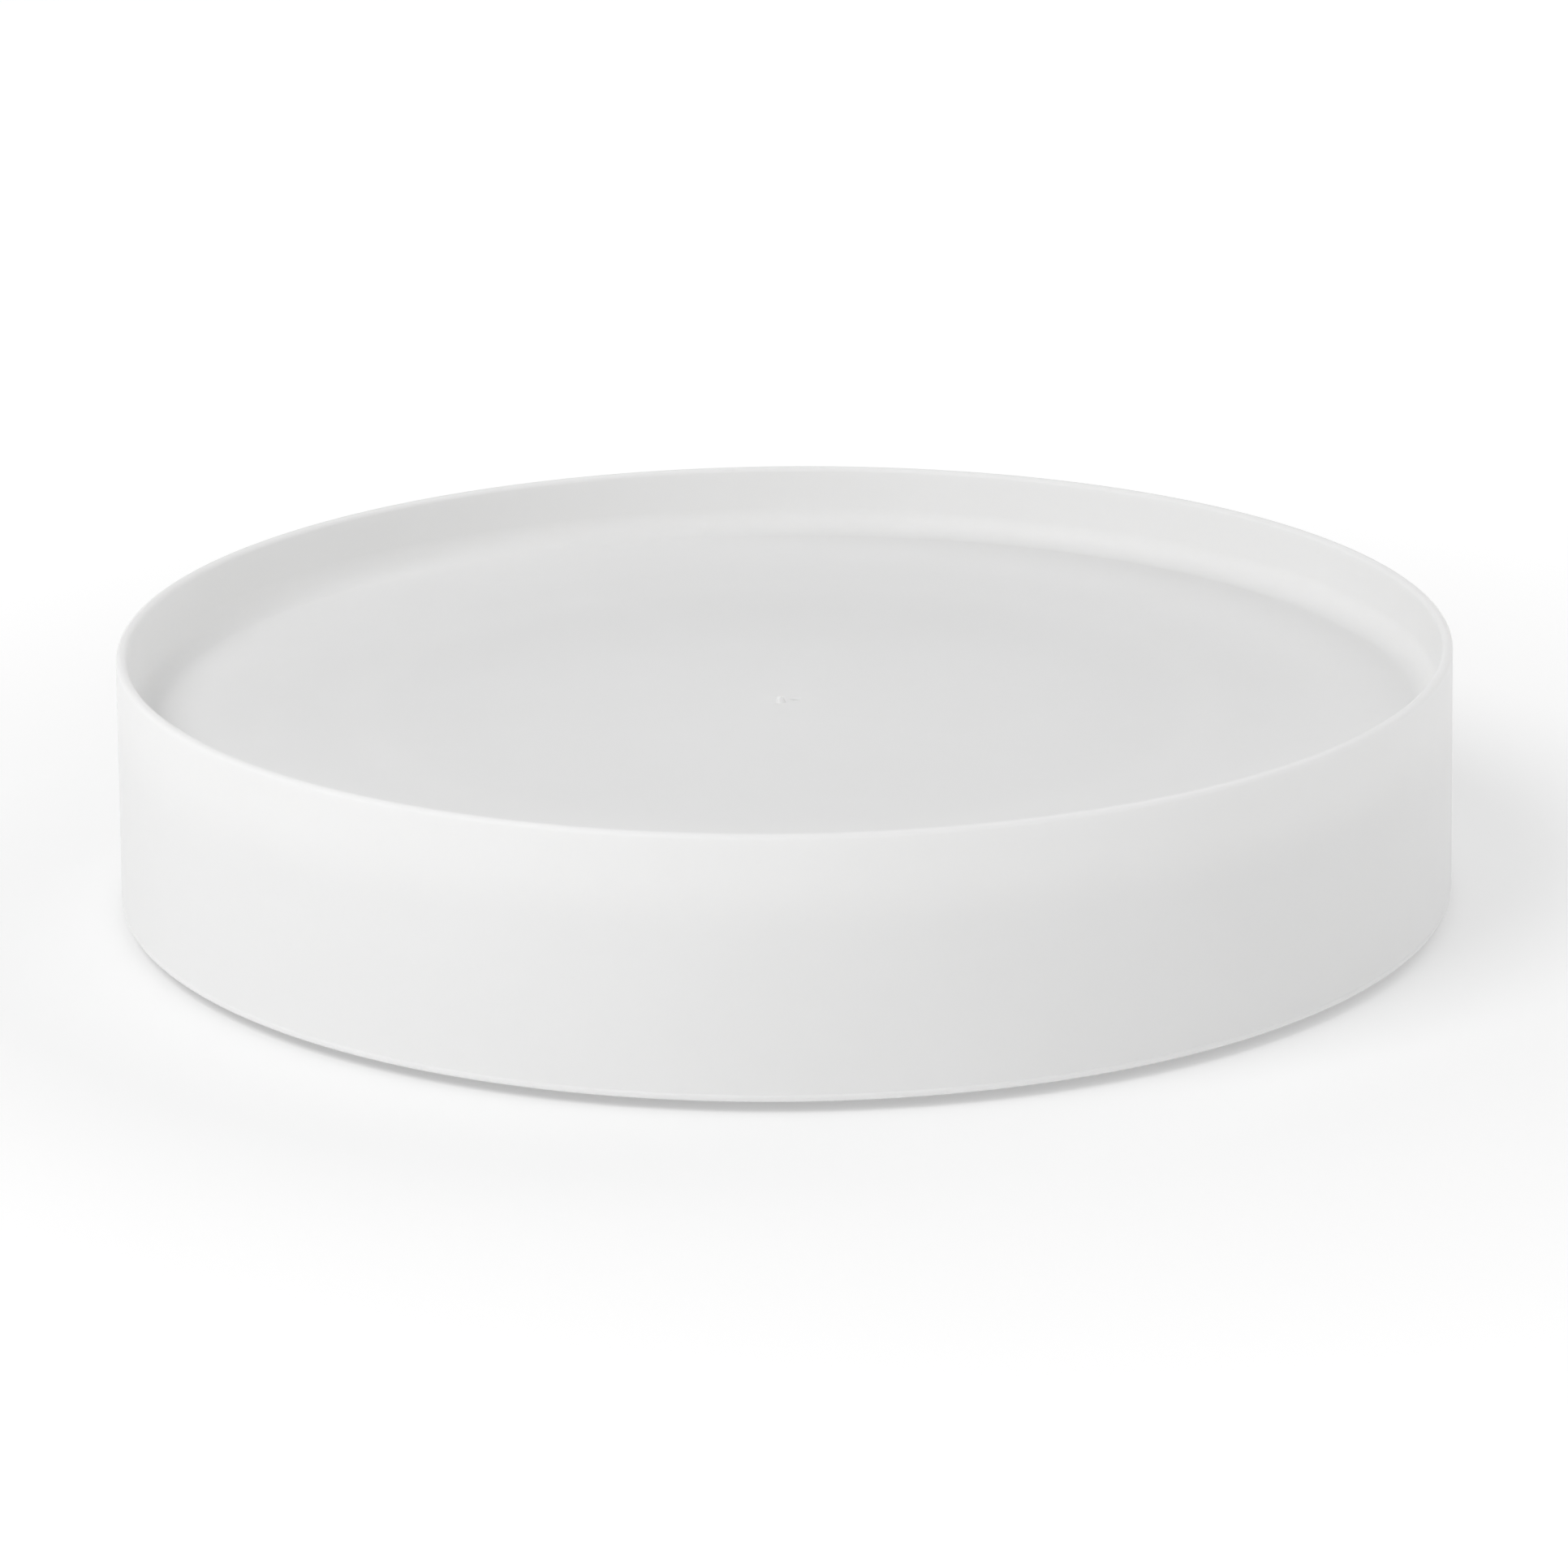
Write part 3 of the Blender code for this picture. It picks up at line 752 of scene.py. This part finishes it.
def foot_hollows():
    """What is cut out of a foot cup: the foot's seat below, and the core above it."""
    over = 1.0 * MM
    seat_top = BASE_BOTTOM + FOOT_SEAT_DEPTH
    seat = [(0, seat_top), (SEAT_RADIUS, seat_top), (SEAT_RADIUS, BASE_BOTTOM + FOOT_CUP_CHAMFER)]
    seat += [(SEAT_RADIUS + FOOT_CUP_CHAMFER + over, BASE_BOTTOM - over), (0, BASE_BOTTOM - over)]
    core_bottom, core_top = seat_top + FOOT_CUP_WALL, DECK_TOP + over
    core = [(0, core_top), (SEAT_RADIUS, core_top), (SEAT_RADIUS, core_bottom), (0, core_bottom)]
    return seat, core


def make_base(material):
    base = turned("base_moulding", base_profile(), LARGE_SIDES, closed=True)
    root = DECK_UNDER + RIB_ROOT
    low = DECK_UNDER - BASE_RIB_HEIGHT
    ribs = bmesh.new()
    for angle, _ in around(BASE_RIBS, 0.0, math.pi / BASE_RIBS):
        inner, outer = HUB_RADIUS - RIB_ROOT, BASE_SHOULDER - BASE_WALL + RIB_ROOT
        spoke = [(inner, low), (outer, low), (outer, root), (inner, root)]
        add_rib(ribs, spoke, {0}, BASE_RIB_WALL, angle)
    bmesh.ops.recalc_face_normals(ribs, faces=ribs.faces)
    combine(base, mesh_piece("base_ribs", ribs), "UNION")

    cups, hollows = bmesh.new(), bmesh.new()
    for _, centre in around(FOOT_COUNT, FOOT_CIRCLE):
        add_turned(cups, foot_cup(root), FOOT_SIDES, centre)
        for hollow in foot_hollows():
            add_turned(hollows, hollow, FOOT_SIDES, centre)
    combine(base, mesh_piece("foot_cups", cups), "UNION")
    combine(base, mesh_piece("foot_hollows", hollows), "DIFFERENCE")
    combine(base, pin_marks(BASE_PIN_CIRCLES, BASE_RIBS, DECK_UNDER), "DIFFERENCE")
    finish_piece(base, material, "base_plastic", "base", "base")


def make_feet(material):
    """Press-in rubber feet: a rounded pad with grip rings in its face."""
    wide, narrow, soft = 0.30 * MM, 0.15 * MM, 0.08 * MM
    ring_top = FOOT_BOTTOM + FOOT_RING_DEPTH
    corners = [(0.0, FOOT_TOP, 0), (FOOT_RADIUS - 0.1 * MM, FOOT_TOP, 0.3 * MM)]
    corners += [(FOOT_RADIUS, FOOT_BOTTOM + 1.6 * MM, 0.1 * MM)]
    corners += [(FOOT_RADIUS, FOOT_BOTTOM, 0.6 * MM)]
    for r in FOOT_RINGS:
        corners += [(r + wide, FOOT_BOTTOM, soft), (r + narrow, ring_top, soft)]
        corners += [(r - narrow, ring_top, soft), (r - wide, FOOT_BOTTOM, soft)]
    corners += [(0.0, FOOT_BOTTOM, 0)]
    profile = filleted(corners, steps=3)
    for number, (_, centre) in enumerate(around(FOOT_COUNT, FOOT_CIRCLE), start=1):
        shape = bmesh.new()
        add_turned(shape, profile, FOOT_SIDES, centre)
        foot = mesh_piece(f"rubber_foot_{number}", shape)
        finish_piece(foot, material, "foot_rubber", "base", f"foot_{number}")


def make_cage(material):
    """Flat nylon ring: raised rails, a countersunk pocket for each ball, and holes between."""
    inner = 2 * RACE_RADIUS - CAGE_OUTER
    sunk = CAGE_TOP - CAGE_SINK
    top = [(inner, CAGE_TOP), (inner + CAGE_RAIL, CAGE_TOP)]
    top += [(inner + CAGE_RAIL + CAGE_SINK, sunk), (CAGE_OUTER - CAGE_RAIL - CAGE_SINK, sunk)]
    top += [(CAGE_OUTER - CAGE_RAIL, CAGE_TOP), (CAGE_OUTER, CAGE_TOP)]
    bottom = [(r, 2 * BALL_Z - z) for r, z in reversed(top)]
    profile = filleted([(r, z, CAGE_SOFT) for r, z in top + bottom], closed=True, steps=3)
    cage = turned("ball_cage_moulding", profile, LARGE_SIDES, closed=True)
    pockets = bmesh.new()
    half = (CAGE_TOP - CAGE_BOTTOM) / 2
    over = 0.05 * MM
    for _, centre in around(BALL_COUNT, RACE_RADIUS):
        pocket = post(GROOVE_RADIUS, BALL_Z - half - over, BALL_Z + half + over, POCKET_FLARE)
        add_turned(pockets, pocket, POCKET_SIDES, centre)
    for _, centre in around(BALL_COUNT, RACE_RADIUS, math.pi / BALL_COUNT):
        hole = post(CAGE_HOLE_RADIUS, BALL_Z - half - MM, BALL_Z + half + MM)
        add_turned(pockets, hole, PIN_SIDES, centre)
    combine(cage, mesh_piece("cage_pockets", pockets), "DIFFERENCE")
    finish_piece(cage, material, "cage_plastic", "cage", "ball_cage")


def ball_shape(radius, cuts=14):
    """A sphere from a subdivided cube, so that its faces are even."""
    shape = bmesh.new()
    bmesh.ops.create_cube(shape, size=2.0)
    bmesh.ops.subdivide_edges(shape, edges=shape.edges, cuts=cuts, use_grid_fill=True)
    for vert in shape.verts:
        eased = [math.tan(c * math.pi / 4) for c in vert.co]
        vert.co = Vector(eased).normalized() * radius
    return shape


def make_balls(material):
    for number, (angle, centre) in enumerate(around(BALL_COUNT, RACE_RADIUS), start=1):
        shape = ball_shape(BALL_RADIUS)
        place = Matrix.Translation((*centre, BALL_Z)) @ Matrix.Rotation(angle, 4, "Z")
        bmesh.ops.transform(shape, matrix=place, verts=shape.verts)
        name = f"bearing_ball_{number:02d}"
        ball = mesh_piece(f"steel_ball_{number:02d}", shape)
        finish_piece(ball, material, "ball_steel", name, name)


def make_bush(material):
    profile = filleted(
        [
            (BUSH_BORE, DECK_TOP, 0.5 * MM),
            (BUSH_RADIUS, DECK_TOP, 0.5 * MM),
            (BUSH_RADIUS, BUSH_SHOULDER, 0.2 * MM),
            (BUSH_FLANGE_RADIUS, BUSH_SHOULDER, 0.3 * MM),
            (BUSH_FLANGE_RADIUS, BUSH_BOTTOM, 0.5 * MM),
            (BUSH_BORE, BUSH_BOTTOM, 0.4 * MM),
        ],
        closed=True,
    )
    bush = turned("acetal_bush", profile, SMALL_SIDES, closed=True)
    finish_piece(bush, material, "bush_plastic", "base", "hub_bush")


def make_washer(material):
    """Stamped washer: a rolled edge on the top face and a sharper one below."""
    profile = filleted(
        [
            (SCREW_HOLE, WASHER_TOP, 0.25 * MM),
            (WASHER_RADIUS, WASHER_TOP, 0.35 * MM),
            (WASHER_RADIUS, WASHER_BOTTOM, 0.12 * MM),
            (SCREW_HOLE, WASHER_BOTTOM, 0.12 * MM),
        ],
        closed=True,
    )
    washer = turned("zinc_washer", profile, SMALL_SIDES, closed=True)
    finish_piece(washer, material, "zinc_steel", "tray", "screw_washer")


def thread_radius(z, angle, length):
    """Radius of the threaded shank at a height above the head. The thread fades at both ends."""
    phase = (z / THREAD_PITCH - angle / math.tau) % 1.0
    crest = max(0.0, 1.0 - abs(phase - 0.5) / THREAD_HALF) ** THREAD_FULLNESS
    start = min(1.0, max(0.0, (z - THREAD_START) / MM))
    to_tip = (length - z) / SCREW_TIP
    taper = min(1.0, max(TIP_LEAST, to_tip))
    full = SCREW_CORE + (SCREW_RADIUS - SCREW_CORE) * crest * start
    return full * taper


def screw_head():
    """Half section of the pan head, from its domed bottom up to the shank."""
    dome = HEAD_HEIGHT * 0.55
    return filleted(
        [
            (0.0, HEAD_BOTTOM, 0),
            (HEAD_RADIUS, HEAD_BOTTOM, dome),
            (HEAD_RADIUS, HEAD_TOP, 0.2 * MM),
            (SCREW_CORE, HEAD_TOP, 0),
        ],
        steps=10,
    )


def screw_rings(shape):
    """Rings of vertices up the screw: plain ones round the head, threaded ones up the shank."""
    angles = [math.tau * side / THREAD_SIDES for side in range(THREAD_SIDES)]
    rings = []
    for r, z in screw_head()[1:]:
        rings.append([shape.verts.new((r * math.cos(a), r * math.sin(a), z)) for a in angles])
    length = SCREW_TOP - HEAD_TOP
    levels = int(length / THREAD_PITCH * THREAD_LEVELS)
    for level in range(1, levels + 1):
        z = length * level / levels
        ring = []
        for angle in angles:
            r = thread_radius(z, angle, length)
            ring.append(shape.verts.new((r * math.cos(angle), r * math.sin(angle), HEAD_TOP + z)))
        rings.append(ring)
    return rings


def screw_shape():
    """Pan head down, threaded shank up, as one closed skin."""
    shape = bmesh.new()
    rings = screw_rings(shape)
    for lower, upper in zip(rings, rings[1:]):
        for side in range(THREAD_SIDES):
            following = (side + 1) % THREAD_SIDES
            shape.faces.new([lower[side], lower[following], upper[following], upper[side]])
    shape.faces.new(rings[0])
    shape.faces.new(rings[-1])
    bmesh.ops.recalc_face_normals(shape, faces=shape.faces)
    return shape


def recess_blade(turn):
    """Cutter for one slot of the cross recess, narrower towards its bottom."""
    shape = bmesh.new()
    corners = []
    for z, reach, half in (
        (HEAD_BOTTOM - 0.3 * MM, CROSS_REACH, CROSS_THICK * 1.2),
        (HEAD_BOTTOM + CROSS_DEPTH, CROSS_TIP_REACH, CROSS_THICK * 0.8),
    ):
        for x, y in ((-reach, -half), (reach, -half), (reach, half), (-reach, half)):
            corners.append(shape.verts.new(Matrix.Rotation(turn, 3, "Z") @ Vector((x, y, z))))
    shape.faces.new(corners[3::-1])
    shape.faces.new(corners[4:])
    for side in range(4):
        following = (side + 1) % 4
        lower, upper = corners[side], corners[side + 4]
        shape.faces.new([lower, corners[following], corners[following + 4], upper])
    bmesh.ops.recalc_face_normals(shape, faces=shape.faces)
    return mesh_piece("recess_blade", shape)


def recess_cone():
    """Cutter for the tapered middle of the cross recess."""
    low, high = HEAD_BOTTOM - 0.35 * MM, HEAD_BOTTOM + CROSS_DEPTH + 0.05 * MM
    profile = [(0, high + 0.3 * MM), (CONE_INNER, high), (CONE_OUTER, low), (0, low)]
    return turned("recess_cone", profile, CONE_SIDES)


def make_screw(material):
    screw = mesh_piece("pan_head_screw", screw_shape())
    for cutter in (recess_blade(0.0), recess_blade(math.pi / 2), recess_cone()):
        combine(screw, cutter, "DIFFERENCE")
    finish_piece(screw, material, "zinc_steel", "tray", "centre_screw")


# ---------------------------------------------------------------- floor, light and camera


def make_floor():
    """A pale light table: matt and lit from below, a little more away from the turntable."""
    shape = bmesh.new()
    bmesh.ops.create_circle(shape, cap_ends=True, segments=128, radius=FLOOR_RADIUS)
    floor = mesh_piece("studio_floor", shape)
    shade = Shade("pale floor")
    away = shade.node("ShaderNodeVectorMath", {0: shade.place}, operation="LENGTH").outputs["Value"]
    glow = shade.between(away, GLOW_NEAR, GLOW_FAR, start=GLOW_START, end=GLOW_END)
    shade.feed("Emission Strength", glow)
    shade.constant(Base_Color=(0.60, 0.60, 0.60, 1.0), Emission_Color=(1.0, 1.0, 1.0, 1.0))
    shade.constant(Roughness=0.9, Specular_IOR_Level=0.2)
    floor.data.materials.append(shade.material)


def make_sky():
    """A light tent: a bright band low all round, and dimmer cloth overhead."""
    world = bpy.data.worlds.new("studio")
    bpy.context.scene.world = world
    world.use_nodes = True
    tree = world.node_tree
    place = tree.nodes.new("ShaderNodeTexCoord").outputs["Generated"]
    split = tree.nodes.new("ShaderNodeSeparateXYZ")
    tree.links.new(place, split.inputs[0])
    ramp = tree.nodes.new("ShaderNodeValToRGB")
    tree.links.new(split.outputs["Z"], ramp.inputs["Fac"])
    while len(ramp.color_ramp.elements) < len(SKY_STOPS):
        ramp.color_ramp.elements.new(0.5)
    for element, (where, level) in zip(ramp.color_ramp.elements, SKY_STOPS):
        element.position = where
        element.color = (level, level, level, 1.0)
    tree.links.new(ramp.outputs["Color"], tree.nodes["Background"].inputs["Color"])
    tree.nodes["Background"].inputs["Strength"].default_value = SKY_STRENGTH


def make_softbox(name, azimuth, elevation, power):
    """A square area light aimed at the middle of the tray, its azimuth measured from +X to +Y."""
    lamp = bpy.data.lights.new(name, "AREA")
    lamp.shape = "SQUARE"
    lamp.size = BOX_SIZE
    lamp.energy = power
    box = link(bpy.data.objects.new(name, lamp))
    level = math.cos(elevation)
    out = Vector((level * math.cos(azimuth), level * math.sin(azimuth), math.sin(elevation)))
    box.location = Vector((0, 0, FLOOR_TOP)) + out * BOX_DISTANCE
    box.rotation_euler = out.to_track_quat("Z", "Y").to_euler()


def make_camera():
    """A long lens, a little above the rim, in front of the tray on -Y."""
    lens = bpy.data.cameras.new("camera")
    lens.sensor_width = SENSOR
    lens.lens = LENS
    middle = Vector((0, 0, (SKIRT_BOTTOM + RIM_TOP) / 2))
    level, rise = math.cos(CAMERA_ELEVATION), math.sin(CAMERA_ELEVATION)
    ahead = Vector((0, level, -rise))
    right = Vector((1, 0, 0))
    up = right.cross(ahead)
    pitched = Matrix.Rotation(CAMERA_TILT, 3, right)
    ahead, up = pitched @ ahead, pitched @ up
    swung = Matrix.Rotation(CAMERA_SWING, 3, up)
    ahead, right = swung @ ahead, swung @ right
    even, side = math.cos(CAMERA_ROLL), math.sin(CAMERA_ROLL)
    right, up = even * right + side * up, even * up - side * right
    turn = Matrix((right, up, -ahead)).transposed()
    eye = middle + CAMERA_DISTANCE * Vector((0, -level, rise))
    camera = link(bpy.data.objects.new("camera", lens))
    camera.matrix_world = Matrix.Translation(eye) @ turn.to_4x4()
    bpy.context.scene.camera = camera


# ---------------------------------------------------------------- the scene

make_camera()
make_tray(tray_plastic())
make_base(base_plastic())
make_feet(foot_rubber())
make_cage(cage_plastic())
make_balls(ball_steel())
make_bush(bush_plastic())
zinc = zinc_steel()
make_washer(zinc)
make_screw(zinc)
make_floor()
make_sky()
make_softbox("key", math.radians(-139), math.radians(53), 11.6)
make_softbox("back fill", math.radians(40), math.radians(45), 4.1)
bpy.context.scene.view_settings.view_transform = "Standard"
